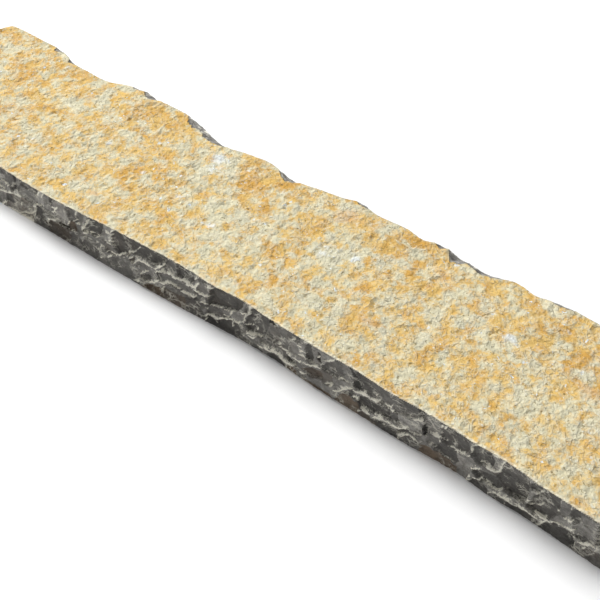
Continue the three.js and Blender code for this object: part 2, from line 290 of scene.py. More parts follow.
# Pale bruises where the hammer crushed the lips of the scars: width, strength, then (x, h) points
# from left to right. Each is soft on its upper side and crisp on its lower side.
frontBruises = [
    (3, 1, (-258, 16.5), (-248, 17.5), (-240, 21), (-231, 24)),
    (9, 0.9, (-230, 24), (-219, 25)),
    (2, 0.9, (-254, 31), (-240, 31.5)),
    (2, 0.7, (-238, 31), (-232, 33)),
    (2.5, 1, (-230, -1), (-224, 1), (-218, 4.5), (-212, 6), (-208, 8), (-203, 12), (-200, 15),
        (-199, 19), (-196, 24), (-191, 27.5), (-186, 28), (-184, 31)),
    (2, 0.8, (-212, 11), (-207, 14.5)),
    (5, 0.6, (-228, 13), (-223, 12), (-221, 17)),
    (1.5, 0.8, (-193, 39), (-188, 42), (-183, 48), (-180, 51)),
    (3, 0.8, (-181, 42), (-178, 47), (-176, 50)),
    (3, 1, (-181, 9.5), (-177, 12), (-174, 16.5), (-168, 20), (-160, 21.5), (-156, 24)),
    (1.5, 0.6, (-170, 28), (-165, 30), (-161, 33)),
    (1.5, 0.6, (-168, 34), (-162, 38)),
    (2.5, 0.8, (-259, -3), (-255, 2), (-251, 4)),
    (1.5, 0.6, (-224, -3), (-219, -1)),
    (3, 0.7, (-163, 33), (-160, 37), (-157, 40)),
    (1.5, 0.7, (-147, 22), (-143, 25), (-141, 31)),
    (1.5, 0.9, (-136, 32), (-132, 34), (-129, 37), (-126, 38)),
    (2, 0.6, (-131, 39), (-128, 45), (-126, 50)),
    (2, 0.9, (-130, 33), (-124, 32.5), (-121, 30)),
    (2, 1, (-121, 27), (-119, 31), (-116, 36), (-113, 41), (-110, 46)),
    (2, 0.9, (-119, 25.5), (-115, 26.5), (-111, 29), (-106, 31)),
    (1.5, 0.4, (-106, 31), (-96, 31)),
    (2, 0.6, (-114, 21), (-108, 22)),
    (2, 0.6, (-102, 21), (-98, 22)),
    (2.5, 0.8, (-96, 17), (-93, 20), (-90, 20)),
    (1.5, 0.7, (-92, 17), (-88, 19)),
    (2, 0.7, (-86, 17), (-80, 20), (-72, 20), (-65, 22)),
    (8, 0.7, (-84, 31), (-77, 32)),
    (6, 0.8, (-86, 40), (-77, 41)),
    (2, 0.8, (-78, 44), (-73, 49)),
    (3, 0.7, (-84, 12), (-80, 14), (-77, 16)),
    (3, 0.5, (-98, 3), (-94, 7)),
    (2, 0.4, (-126, 9), (-123, 15)),
    (2, 0.5, (-90, 29), (-84, 28), (-74, 28)),
    (2, 0.8, (-70, 20.5), (-64, 23), (-58, 27)),
    (2.5, 1, (-56, 27), (-53, 31), (-47, 34)),
    (1.2, 0.5, (-47, 34), (-42, 39), (-37, 44)),
    (1.5, 0.8, (-53, 25), (-46, 28.5)),
    (4, 1, (-46, 21.5), (-42, 25), (-38, 28.5), (-30, 29.5), (-16, 29.5)),
    (3, 0.9, (-16, 28), (-13, 32), (-8, 36), (-3, 41)),
    (3, 1, (-15, 25), (-12, 28), (-6, 30.5), (0, 31.5), (8, 32), (16, 32)),
    (3.5, 1, (16, 31.5), (22, 33), (30, 32), (37, 31.5), (41, 36), (44, 42)),
    (2.5, 1, (-9, 16.5), (-5, 16), (0, 20), (8, 20.5), (12, 21), (17, 21)),
    (2.5, 1, (18, 18), (25, 19.5), (32, 20), (37, 20.5), (40, 23)),
    (4, 0.9, (-24, 9.5), (-18, 12), (-11, 18)),
    (2, 0.7, (-38, 10), (-36, 14), (-31, 18), (-26, 20)),
    (2.5, 0.7, (-48, 0), (-42, 1), (-37, 4)),
    (2, 0.5, (-7, 5), (-5, 13)),
    (2, 0.9, (36, 29), (44, 29), (50, 30), (56, 31)),
    (2, 0.7, (44, 17), (48, 19), (54, 21)),
    (3, 1, (56, 43), (62, 43.5)),
    (2, 0.6, (60, 42), (70, 50)),
    (2, 1, (51, 0), (53, 6), (56, 9), (62, 11), (68, 11), (74, 14), (80, 17), (85, 19)),
    (2.5, 1, (85, 19), (93, 18.5), (96, 20), (100, 22), (102, 28), (104, 33), (108, 38), (109, 45),
        (110, 50)),
    (2, 0.9, (93, 32), (99, 32.5), (104, 35)),
    (1, 0.6, (85, 8), (86, 18)),
    (1, 0.6, (94, 13), (94.5, 19)),
    (3, 0.5, (74, 18), (84, 22), (87, 30)),
    (2, 0.8, (102, 20.5), (108, 24)),
    (1.5, 0.6, (110, 24), (113, 27)),
    (1.5, 0.5, (115, 21), (118, 26)),
    (2.5, 0.9, (104, 10.5), (108, 14), (114, 15), (120, 17), (123, 18)),
    (2, 0.8, (107, 10), (112, 11), (116, 14)),
    (1.5, 0.5, (98, 2), (101, 8)),
    (3, 0.6, (109, 44), (113, 48), (119, 50)),
    (4, 0.6, (37, 41), (41, 46), (42, 50)),
    (6, 1, (119, 5.5), (127, 6), (133, 7), (139, 9), (144, 10), (150, 8), (155, 6), (158, 6), (163, 8),
        (167, 10)),
    (2.5, 1, (147, 23), (150, 27)),
    (2, 0.8, (148, 22), (156, 21), (160, 20.5), (170, 19), (174, 20), (176, 23)),
    (2, 0.7, (171, 27), (177, 28), (182, 28)),
    (2.5, 0.9, (177, 22), (182, 22), (188, 23), (190, 25), (196, 27), (200, 26)),
    (3, 1, (164, 40), (168, 43)),
    (3, 0.7, (172, 31), (182, 35)),
    (2, 0.7, (170, 37), (176, 39)),
    (2, 0.8, (195, 37), (198, 41)),
    (2, 0.7, (198, 31), (203, 34)),
    (1.5, 0.9, (202, 38), (208, 40), (214, 47), (217, 50)),
    (2, 0.8, (171, 4.5), (176, 5), (180, 8)),
    (2, 0.8, (204, 13), (208, 14), (213, 16)),
    (3, 0.6, (155, -3), (156, 4)),
    (2, 0.5, (139, 45), (146, 48)),
    (3, 0.6, (177, 44), (179, 48), (183, 48)),
    (4, 1, (215, 10), (222, 13.5), (226, 18), (231, 21.5), (237, 24.5)),
    (3, 1, (237, 24), (243, 25), (248, 27.5), (253, 28), (257, 30.5)),
    (1.5, 0.6, (220, 28.5), (228, 29), (236, 29.5)),
    (2, 0.8, (236, 15.5), (240, 18)),
    (2, 0.6, (241, 13), (242, 22)),
    (1.5, 0.8, (262, 33), (264, 37)),
    (2, 0.8, (259, 30), (265, 29), (268, 32)),
    (1.5, 0.6, (268, 31), (280, 32)),
    (2, 0.8, (281, 29), (284, 32)),
    (2.5, 1, (245, 9.5), (252, 8.5), (258, 8.5)),
    (5, 1, (262, 7), (268, 10.5), (274, 12.5), (281, 13.5)),
    (6, 1, (281, 12), (288, 12.5), (292, 13), (296, 15), (298, 20)),
    (2, 0.8, (289, -2), (291, 5), (294, 8), (299, 10.5), (306, 10), (311, 10)),
    (2.5, 0.7, (242, 1), (246, 5)),
    (4, 0.8, (304, 33), (310, 36), (313, 38)),
    (4, 0.5, (300, 24), (306, 28)),
    (2.5, 1, (322, 30), (328, 30.5), (333, 30), (338, 31)),
    (2, 0.6, (331, 24), (333, 28)),
    (2, 0.5, (332, 35), (333, 48)),
    (2, 0.7, (340, 26), (346, 27), (352, 27), (358, 28), (361, 29), (364, 32)),
    (2, 0.7, (364, 36), (365, 44), (369, 49)),
    (2.5, 1, (373, 32.5), (379, 32), (381, 30), (388, 30), (391, 32), (393, 38), (394, 46), (396, 50)),
    (2, 0.8, (384, 49), (388, 48)),
    (2, 0.9, (360, -3), (363, 1), (366, 4)),
    (2, 0.8, (362, 4), (365, 8)),
    (2, 0.8, (367, 7.5), (372, 9), (376, 12), (380, 12)),
    (1.5, 0.5, (380, 12), (388, 10)),
    (4, 0.8, (365, 16), (369, 20), (372, 23), (375, 26)),
    (3, 0.6, (384, 1), (388, 5), (392, 8)),
    (6.5, 1, (390, 8), (396, 7), (404, 6.5), (412, 7), (418, 8), (423, 9)),
    (2.5, 0.6, (335, 43), (337, 49)),
    (1.5, 0.5, (341, 44), (344, 49)),
    (4, 0.9, (423, 9), (430, 8), (438, 7.5), (441, 12)),
    (2, 1, (428, 13), (436, 13), (444, 15), (449, 17.5)),
    (2.5, 0.9, (449, 17.5), (458, 18.5), (462, 20), (468, 25)),
    (1.3, 0.8, (423, 17), (427, 21), (433, 26), (435, 30)),
    (1.3, 0.8, (429, 35), (431, 39), (438, 47)),
    (3, 1, (457, 29), (460, 31), (463, 34)),
    (1.5, 0.7, (449, 30), (450, 34)),
    (3, 1, (471, 14), (475, 14.5), (479, 16), (482, 19), (489, 21)),
    (2, 0.8, (476, 7), (478, 11)),
    (5, 0.5, (420, 22), (425, 24)),
    (3, 0.7, (433, -1), (436, 4)),
]

scarring = {
    "warp": (0.6, 11.0),    # how far the outline of a scar wanders, and over what length
    "shatter": [(0.6, 8.0), (0.3, 3.5)],  # most shift of a shard, and the size of the shards
    "grow": 1.2,            # the scars reach this far past their corners, into each other
    "wall": 2.0,            # width of the wall inside the sides of a scar
    "foot": (0.04, 0.16),   # least and most slope of a scar's floor, down into the stone
    "lean": 0.08,           # most slope of the floor to one side
    # the crushed strip along the foot and the right side, whose walls face up and to the left,
    # towards the light, so it is crushed stone and painted light: full to this far inside the scar,
    # then fading out over this width
    "ledgeCrushAndLight": (0.8, 1.3),
    "ledgeBruise": 0.3,     # how pale a full ledge is, from crushed stone and painted light
    "lipShift": (1.5, 2),   # the front's bruises lie this far right of and above their points
    "lift": 0.7,            # how far a full bruise stands out past the side's edges
    "proud": 1.6,           # how far ground that no scar reaches stands out past them
    "groundTone": 1.15,     # the tone of that ground
    "facets": [(0.07, 8.0), (0.07, 3.5)],  # height of the facets on the scars as a share of their size
    "ragged": 0.55,         # how far the long edges stray
}

# for how the long edges stray
edgeSeeds = {"frontBottom": 81, "frontTop": 83, "backTop": 85, "backBottom": 87}

# each broken side: where its random run of scars starts and ends, the strength of the lips, and
# the seeds of the run, the scars, the lips and the ledges
brokenSides = {
    "front": (-508, -264, 1, 3, 11, 21, 23),
    "back": (-508, 505, 0.7, 5, 13, 27, 24),
    "left": (-115, 112, 0.6, 6, 14, 29, 25),
    "right": (-115, 112, 0.6, 8, 16, 29, 25),
}

# the scars of a random run; each pair is the least and the most
scarRun = {
    # each course: middle h, how tall and how long its scars are, how far apart they start, in their
    # own lengths, and how much deeper they are
    "courses": [(40, 27, 34, 0.8, 0), (12, 25, 42, 0.8, 0), (26, 20, 26, 1.6, 1)],
    "length": (0.6, 1.6),   # as a share of the course's
    "halfHeight": (0.35, 0.6),  # as a share of the course's height
    "drop": (-3, 9),        # how far the left half stands above the middle, and the right half below
    "level": (-5, 5),       # of the middle, from the course's
    "across": (0.4, 0.65),  # from the middle to a corner, as a share of the length
    "stray": (-4, 4),       # of a corner, up or down
    "depth": (2, 4),
    "tone": (0.7, 1.35),
    "brown": (0, 0.5),
    "bendPlace": (0.3, 0.7),  # where along the foot its lip bends
    "bend": (-3, 2),        # and how far up
    "lipped": 0.75,         # share of the scars that have a lip
    "lipWidth": (1.5, 4),
    "lipStrength": (0.5, 1),
}

# the bruised lips of the scars
lipShape = {
    "sway": (0.9, 4),       # how much the width varies, as a share, and over what length
    "swayLimits": (0.3, 1.7),
    "come": (0.7, 6),       # the same for the strength
    "comeLimits": (0.25, 1.1),
    "under": 0.6,           # how far the bruise reaches on the lower side
    "lip": 0.5,             # strength of the crisp lip, of the bruise and of the halo
    "bruise": 0.4,
    "halo": 0.12,
}

# the relief of the top, as height, size and seed, or share of the size, size and seed for the steps
topShape = {
    "swells": [(1.3, 95, 51), (0.8, 41, 52)],
    "lumps": [(0.35, 17, 53), (0.4, 9, 54), (0.35, 5.5, 58)],
    "warpAlong": [(2.5, 9, 55)],  # how the steps wander
    "warpAcross": [(2.5, 9, 56)],
    "steps": [(0.08, 12, 57), (0.16, 5.5, 61)],
    "edgeFade": (0.25, 5),  # what is left of the relief at the edges, and the width it fades over
    "wornArris": 4.5,       # width of the worn strip along the front arris
}

topSpots = {
    # how ochre (above 0) or pale (below 0)
    "stain": [
        (-318, 82, 12, 14, 0.8), (-458, 104, 12, 6, 0.5), (-393, 35, 18, 22, 0.4),
        (-26, 62, 30, 30, 0.8), (-188, 75, 42, 22, 0.5), (-138, 5, 32, 32, 0.5),
        (-68, -45, 22, 17, 0.5), (77, 37, 14, 14, 1), (144, 57, 20, 25, 0.7), (161, 84, 11, 11, 0.8),
        (172, -5, 8, 8, 1), (212, 40, 22, 27, 0.5), (192, -40, 12, 12, 0.5), (72, -20, 22, 27, 0.5),
        (302, -20, 12, 12, 0.9), (320, -32, 15, 10, 0.6), (280, -10, 9, 17, 0.5), (382, 40, 12, 9, 0.9),
        (332, 65, 22, 22, 0.5), (-443, 67, 12, 14, -0.6), (-290, 32, 14, 14, -0.6),
        (-268, -10, 12, 12, -0.6), (-73, 45, 27, 32, -0.8), (-23, 2, 17, 19, -0.6),
        (22, -35, 32, 32, -0.5), (120, 17, 30, 30, -1.2), (162, -55, 22, 22, -0.5),
        (297, 21, 27, 11, -0.7), (370, -25, 24, 22, -0.6),
    ],
    # white crystals
    "crystal": [
        (-84, 64, 9, 9, 1), (-124, -11, 4, 4, 1), (-64, -16, 6, 4, 1), (-195, 3, 3, 4, 1),
        (-3, -30, 5, 5, 1), (140, 25, 6, 5, 1), (318, 25, 9, 7, 1), (110, 15, 22, 18, 0.5),
        (-73, 45, 20, 20, 0.5),
    ],
    # pinkish brown films
    "rust": [
        (90, 72, 14, 13, 1.1), (-136, -71, 8, 5, 0.9), (207, -40, 15, 6, 0.8), (403, 16, 14, 7, 1),
        (212, 64, 10, 8, 0.6), (219, 37, 8, 6, 0.5),
    ],
    # clusters of dark pits
    "pit": [
        (-302, -42, 6, 12, 1), (-250, 45, 7, 10, 1), (37, 0, 10, 10, 1),
    ],
}


def ease(share):
    # 3 s squared - 2 s cubed, with s held between 0 and 1
    share = np.clip(share, 0, 1)
    return share * share * (3 - 2 * share)


def blend(a, b, share):
    # a where share is 0 and b where it is 1
    return a + (b - a) * share


def smoothLine(points, at):
    # cubic through the points, with each point's slope taken from its two neighbours
    position, offset = np.array(points, float).T
    slope = np.gradient(offset, position)
    i = np.clip(np.searchsorted(position, at) - 1, 0, len(position) - 2)
    width = position[i + 1] - position[i]
    t = np.clip((at - position[i]) / width, 0, 1)
    bulge = t * (1 - t) * width * (slope[i] * (1 - t) - slope[i + 1] * t)
    return blend(offset[i], offset[i + 1], ease(t)) + bulge


def hashed(i, j, seed):
    # a repeatable value from 0 to 1 for each pair of whole numbers
    n = (i * 73856093) ^ (j * 19349663) ^ (seed * 83492791)
    n = (n ^ (n >> 13)) * 1274126177
    return ((n ^ (n >> 16)) & 0xFFFFFF) / 0xFFFFFF


def noise(u, v, size, seed):
    # gradient noise, about -1 to 1: each grid corner has a ramp in a random direction, and the
    # four ramps round a point are blended
    u, v = u / size, v / size
    i, j = np.floor(u).astype(np.int64), np.floor(v).astype(np.int64)
    fu, fv = u - i, v - j
    total = 0.0
    for stepU in (0, 1):
        for stepV in (0, 1):
            turn = 2 * np.pi * hashed(i + stepU, j + stepV, seed)
            ramp = np.cos(turn) * (fu - stepU) + np.sin(turn) * (fv - stepV)
            weightU = ease(fu) if stepU else 1 - ease(fu)
            weightV = ease(fv) if stepV else 1 - ease(fv)
            total = total + ramp * weightU * weightV
    return 1.4 * total


def layered(u, v, layers, base=0):
    # the base plus one noise for each layer, given as its height, size and seed
    return sum((height * noise(u, v, size, seed) for height, size, seed in layers), base)


def nearestCentre(u, v, size, seed):
    # there is one centre somewhere in each square of a grid; returns the square of the nearest
    # centre to each point, and how far the point is from that centre along u and v
    i, j = np.floor(u / size).astype(np.int64), np.floor(v / size).astype(np.int64)
    nearest = np.full(np.broadcast(u, v).shape, np.inf)
    found = [np.zeros_like(nearest)] * 4
    for stepU in (-1, 0, 1):
        for stepV in (-1, 0, 1):
            a, b = i + stepU, j + stepV
            du = u - (a + hashed(a, b, seed)) * size
            dv = v - (b + hashed(a, b, seed + 1)) * size
            away = du * du + dv * dv
            found = [np.where(away < nearest, new, old) for new, old in zip((a, b, du, dv), found)]
            nearest = np.minimum(away, nearest)
    a, b, du, dv = found
    return a.astype(np.int64), b.astype(np.int64), du, dv


def shards(u, v, size, seed):
    # each shard is a plane that slopes one in one, in a random direction and at a random level, so
    # shards meet in small steps
    a, b, du, dv = nearestCentre(u, v, size, seed)
    turn = 2 * np.pi * hashed(a, b, seed + 2)
    return np.cos(turn) * du + np.sin(turn) * dv + (hashed(a, b, seed + 3) - 0.5) * size


def shattered(u, v, seed):
    # which place shows at each point: noise moves it a little, then each shard shifts it as one,
    # first by large shards and then by small ones
    reach, size = scarring["warp"]
    u, v = u + reach * noise(u, v, size, seed), v + reach * noise(u, v, size, seed + 1)
    for reach, size in scarring["shatter"]:
        a, b = nearestCentre(u, v, size, seed)[:2]
        u = u + reach * (2 * hashed(a, b, seed + 5) - 1)
        v = v + reach * (2 * hashed(a, b, seed + 6) - 1)
    return u, v


def brokenRun(start, end, seed):
    # scars along one side in uneven courses, each a crooked four-sided one that laps over the
    # next, and the lips of most of them: along the foot, and up the right side of some
    rng = np.random.default_rng(seed)

    def draw(name):
        return rng.uniform(*scarRun[name])

    scars, lips = [], []
    for middle, tall, length, apart, deeper in scarRun["courses"]:
        edge = start
        while edge < end:
            reach, high, drop = length * draw("length"), tall * draw("halfHeight"), draw("drop")
            u, h = edge + reach / 2, middle + draw("level")
            square = [(-1, drop - high), (-0.7, drop + high), (1, high - drop), (0.8, -high - drop)]
            corners = [
                (u + across * reach * draw("across"), h + up + draw("stray"))
                for across, up in square
            ]
            scars.append((draw("depth") + deeper, draw("tone"), draw("brown"), *corners))
            (u0, h0), (u1, h1), top = corners[0], corners[3], corners[2]
            bend = (blend(u0, u1, draw("bendPlace")), blend(h0, h1, 0.5) + draw("bend"))
            foot = [(u0, h0), bend, (u1, h1), top][rng.integers(0, 2):rng.integers(3, 5)]
            if rng.random() < scarRun["lipped"]:
                lips.append((draw("lipWidth"), draw("lipStrength"), *foot))
            edge += reach * apart
    return scars, lips


def scarred(u, h, scars, seed):
    # a scar is a flat floor with a wall just inside its straight sides, depth * (1 - wall squared),
    # and its floor slopes into the stone towards its foot; the deepest scar shows. Returns the
    # depth, how much it is a ledge that looks up or to the left, towards the light, to be painted pale
    # as crushed and lit, the tone and how brown it is
    rng = np.random.default_rng(seed)
    deepest = np.zeros(np.broadcast(u, h).shape)
    ledgeCrushAndLight, tone, brown = deepest.copy(), deepest + scarring["groundTone"], deepest.copy()
    ledgeInset, ledgeWidth = scarring["ledgeCrushAndLight"]
    for depth, shade, warmth, *corners in scars:
        past, facing = np.full_like(deepest, -np.inf), np.zeros_like(deepest)
        for (u0, h0), (u1, h1) in zip(corners, corners[1:] + corners[:1]):
            run, rise = (u1 - u0, h1 - h0) / np.hypot(u1 - u0, h1 - h0)
            beyond = (h - h0) * run - (u - u0) * rise - scarring["grow"]
            facing = np.where(beyond > past, -rise - run, facing)
            past = np.maximum(beyond, past)
        middle = np.mean(corners, 0)
        foot = rng.uniform(*scarring["foot"])
        side = scarring["lean"] * rng.uniform(-1, 1)
        wall = np.clip(1 + past / scarring["wall"], 0, 1)
        dish = depth * (1 - wall**2) + foot * (middle[1] - h) + side * (u - middle[0])
        wins = (past < 0) & (dish > deepest)
        # paler where the wall faces up or to the left, towards the light: crushed stone and painted
        # light
        crushedAndLit = ease(1 + (past + ledgeInset) / ledgeWidth) * ease(facing)
        deepest = np.where(wins, dish, deepest)
        ledgeCrushAndLight = np.where(wins, crushedAndLit, ledgeCrushAndLight)
        tone = np.where(wins, shade, tone)
        brown = np.where(wins, warmth, brown)
    for share, size in scarring["facets"]:
        deepest = deepest + share * shards(u, h, size, seed + 2)
    return deepest, ledgeCrushAndLight, tone, brown


def strokes(u, h, bruises, seed):
    # along each line of points, the sum of a crisp lip, a bruise that on the lower side stops at
    # once, and a faint halo, each fading with the distance to the nearest piece of the line; the
    # line is widest at its middle, 1 - distance from it squared, and comes and goes
    (sway, swayOver), (come, comeOver) = lipShape["sway"], lipShape["come"]
    uneven = np.clip(1 + sway * noise(u, h, swayOver, seed), *lipShape["swayLimits"])
    strong = np.clip(0.85 + come * noise(u, h, comeOver, seed + 1), *lipShape["comeLimits"])
    mask = np.zeros(np.broadcast(u, h).shape)
    for width, strength, *points in bruises:
        for part, ((u0, h0), (u1, h1)) in enumerate(zip(points, points[1:])):
            run, rise = u1 - u0, h1 - h0
            along = ((u - u0) * run + (h - h0) * rise) / (run**2 + rise**2)
            along = np.clip(along, 0, 1)
            away = np.hypot(u - blend(u0, u1, along), h - blend(h0, h1, along))
            fromMiddle = 2 * (part + along) / (len(points) - 1) - 1
            above = (h - h0) * run > (u - u0) * rise
            taper = 1.2 - 0.95 * fromMiddle**2
            reach = np.where(above, width * uneven * taper, lipShape["under"])
            wide = np.where(above, 3 + 1.5 * width, lipShape["under"])
            lip = lipShape["lip"] * np.clip(1 - away / (0.4 + 0.9 * taper), 0, 1) * strong
            lip = lip + lipShape["bruise"] * np.clip(1.25 - 1.25 * away / reach, 0, 1) * strong
            lip = lip + lipShape["halo"] * np.clip(1 - away / wide, 0, 1)
            mask = np.maximum(mask, strength * lip)
    return mask


def brokenSide(name, u, h, scars=(), lips=()):
    # the depth of the scars, the bruises, the tone and how brown it is at each place of a side:
    # from the scars and lips given, then those of its random run. The ledges, which face up or to
    # the left and are pale as crushed stone and painted light, are bruised in broken lengths
    start, end, strength, runSeed, scarSeed, lipSeed, ledgeSeed = brokenSides[name]
    runScars, runLips = brokenRun(start, end, runSeed)
    shifted = shattered(u, h, scarSeed)
    cut, ledgeCrushAndLight, tone, brown = scarred(*shifted, [*scars, *runScars], scarSeed)
    bruise = strength * strokes(*shifted, [*lips, *runLips], lipSeed)
    ledgeCrushAndLight = ledgeCrushAndLight * ease(0.7 + 1.2 * noise(u, h, 18, ledgeSeed))
    return cut, np.maximum(bruise, scarring["ledgeBruise"] * ledgeCrushAndLight), tone, brown


def edgeAt(name, x):
    # a long edge of the stone in plan, a little ragged
    seed = edgeSeeds[name]
    stray = layered(x, 0 * x, [(1, 6, seed), (0.7, 2.7, seed + 1)])
    return smoothLine(outlines[name], x) + scarring["ragged"] * stray * endFade(x)


def endFade(x):
    # 0 at the ends, and 1 further in
    return ease((stone["length"] / 2 - np.abs(x)) / stone["endFade"])


def frontSide(x, up):
    # from the bottom edge to the arris, cut back by the scars and lifted a little by the bruises
    height = stone["height"]
    h = height * up
    edge = blend(edgeAt("frontBottom", x), edgeAt("frontTop", x), up)
    right, above = scarring["lipShift"]
    lips = [
        (width, strength, *((lipX + right, lipH + above) for lipX, lipH in points))
        for width, strength, *points in frontBruises
    ]
    cut, bruise, tone, brown = brokenSide("front", x, h, frontScars, lips)
    left, over = stone["arrisFade"]
    fade = blend(left, 1, ease((height - h) / over))
    fade = fade * blend(stone["frontFoot"], 1, ease(h / stone["bottomFade"])) * endFade(x)
    y = edge + fade * blend(cut - scarring["proud"], -scarring["lift"], bruise)
    return y, h + 0 * x, h - height + 0 * x, bruise, tone, brown


def chipAt(x):
    # set-back of the top and depth of the chip at each x, most at the middle of a chip
    ragged = layered(x, 0 * x, backChips["stray"], x)
    setBack, depth = np.zeros_like(x), np.full_like(x, backChips["least"])
    for middle, half, back, deep in backChips["chips"]:
        share = np.clip(1 - ((ragged - middle) / half) ** 2, 0, 1) ** backChips["power"]
        setBack = np.maximum(setBack, back * share)
        depth = np.maximum(depth, deep * share)
    return setBack * layered(x, 0 * x, backChips["jag"], 1), depth


def topRelief(x, y):
    # long swells, lumps, and shards that meet in small steps; the lumps and the shards are
    # longer along the lie of the flakes
    swells = layered(x, y, topShape["swells"])
    turn, longer = limestone["lie"]
    x, y = x * math.cos(turn) + y * math.sin(turn), (y * math.cos(turn) - x * math.sin(turn)) / longer
    lumps = layered(x, y, topShape["lumps"])
    u = layered(x, y, topShape["warpAlong"], x)
    v = layered(x, y, topShape["warpAcross"], y)
    steps = sum(share * shards(u, v, size, seed) for share, size, seed in topShape["steps"])
    return swells + lumps + steps


def topSide(x, over):
    # from the front arris to the edge of the crust at the back; the arris is worn pale
    front = edgeAt("frontTop", x)
    back = edgeAt("backTop", x) - chipAt(x)[0]
    y = blend(front, back, over)
    inside = np.minimum(y - front, back - y)
    left, across = topShape["edgeFade"]
    z = stone["height"] + blend(left, 1, ease(inside / across)) * topRelief(x, y)
    worn = ease(1.1 - (y - front) / topShape["wornArris"])
    return y, z, inside, worn, 1 + 0 * y, 0 * y


def backSide(x, down):
    # a short slope from the edge of the crust to the sill of the chip, then scars to the bottom;
    # the chips are fresh breaks of mixed greys
    height = stone["height"]
    setBack, depth = chipAt(x)
    crustEdge = edgeAt("backTop", x) - setBack
    sill = edgeAt("backTop", x) + backChips["flare"] * (depth - backChips["least"])
    slopeRows = backChips["slopeRows"]
    slope = np.clip(down / slopeRows, 0, 1)
    fall = np.clip((down - slopeRows) / (1 - slopeRows), 0, 1)
    h = height - depth * slope - (height - depth) * fall
    cut, bruise, tone, brown = brokenSide("back", x, h)
    fresh = ease((depth - 1.5) / 1.5) * (1 - ease(fall / 0.2))
    tone = blend(tone, 1.15 + 0.5 * noise(x, 2 * h, 8, 35) + 0.5 * noise(x, h, 4.5, 36), fresh)
    bruise = blend(bruise, 0.4 * noise(x, 2 * h, 8, 37), fresh)
    brown = brown * (1 - fresh)
    fade = ease(fall / 0.12) * blend(stone["backFoot"], 1, ease(h / stone["bottomFade"])) * endFade(x)
    y = blend(blend(crustEdge, sill, slope), edgeAt("backBottom", x), fall)
    cut = blend(cut - scarring["proud"], -scarring["lift"], bruise)
    y = y - fade * cut + np.minimum(slope, 1 - fall) * layered(x, h, backChips["grain"])
    return y, h, h - height, bruise, tone, brown


def underSide(x, over):
    # from the back to the front: shallow hollows, none of them below the flat it stands on
    y = blend(edgeAt("backBottom", x), edgeAt("frontBottom", x), over)
    inside = 200 * np.minimum(over, 1 - over) + 0 * x
    hollow = np.maximum(0, layered(x, y, stone["hollows"]))
    return y, hollow * ease(inside / 20), inside - 4, 0 * y, 1 + 0 * y, 0 * y


def sweep(x, *sides):
    # the sides one after another at each x, then each point slid along so that the ends bow
    y, z, *finish = (np.hstack(parts) for parts in zip(*sides))
    along = x / stone["length"] + 0.5
    past = blend(-smoothLine(endLines["left"], y), smoothLine(endLines["right"], y), along)
    return np.stack([x + past, y, z, *finish], 2)


def rows(count, last=False):
    # how far along a side each of its rows lies; the last edge belongs to the next side
    return np.linspace(0, 1, count + last, endpoint=last)[None, :]


def endCap(rim, side):
    # rings that shrink from the last loop onto a line near its foot, cut back by scars
    y, z = rim[:, 1], rim[:, 2]
    halfWidth, low = stone["endCore"]
    share = np.linspace(0, stone["endShrink"], stone["endRings"] + 1)[1:, None]
    y, z = blend(y, np.clip(y, -halfWidth, halfWidth), share), blend(z, low, share)
    inside = share * (stone["height"] - low) * ease(0.4 + z / 10)
    name = "right" if side > 0 else "left"
    cut, bruise, tone, brown = brokenSide(name, y, z)
    fade = ease(inside / 8)
    line = smoothLine(endLines[name], y)
    x = side * (stone["length"] / 2 + line - fade * blend(cut, -scarring["lift"], bruise))
    return np.stack([x, y, z, z - stone["height"], bruise, tone, brown], 2)


def strips(a, b):
    # four-sided faces between two runs of vertex numbers, row by row
    return np.stack([a[:, :-1], b[:, :-1], b[:, 1:], a[:, 1:]], 2).reshape(-1, 4).tolist()


def stonePoints():
    # a table of points, x, y, z, crust, bruise, tone and brown, and the faces between them: loops
    # round the stone at each station, front, top, back and underside, one more column of points
    # between each two on the front, and rings on each end
    x = np.linspace(-0.5, 0.5, stone["stations"] + 1)[:, None] * stone["length"]
    between = (x[1:] + x[:-1]) / 2
    front = stone["rowsFront"]
    loops = sweep(
        x, frontSide(x, rows(front)), topSide(x, rows(stone["rowsTop"])),
        backSide(x, rows(stone["rowsBack"])), underSide(x, rows(stone["rowsUnder"])),
    )
    columns = sweep(between, frontSide(between, rows(front, True)))
    index = np.arange(loops[..., 0].size).reshape(loops.shape[:2])
    middle = index.size + np.arange(columns[..., 0].size).reshape(columns.shape[:2])
    a, b = index[:-1], index[1:]
    arris = [middle[:, -1], b[:, front], b[:, front + 1], a[:, front + 1], a[:, front]]
    bottom = [middle[:, 0], a[:, 0], a[:, -1], b[:, -1], b[:, 0]]
    faces = [
        *strips(a[:, :front + 1], middle), *strips(middle, b[:, :front + 1]),
        *strips(a[:, front + 1:], b[:, front + 1:]),
        *np.stack(arris, 1).tolist(), *np.stack(bottom, 1).tolist(),
    ]
    parts = [loops.reshape(-1, 7), columns.reshape(-1, 7)]
    start = index.size + middle.size
    for rim, edge, side in ((loops[0], index[0], -1), (loops[-1], index[-1], 1)):
        rings = endCap(rim, side)
        ringIndex = start + np.arange(rings[..., 0].size).reshape(rings.shape[:2])
        start += ringIndex.size
        parts.append(rings.reshape(-1, 7))
        closed = np.vstack([edge, ringIndex])[:, [*range(edge.size), 0]][:, ::side]
        faces += strips(closed[:-1], closed[1:])
        faces.append(ringIndex[-1][::-side].tolist())
    return np.concatenate(parts), faces


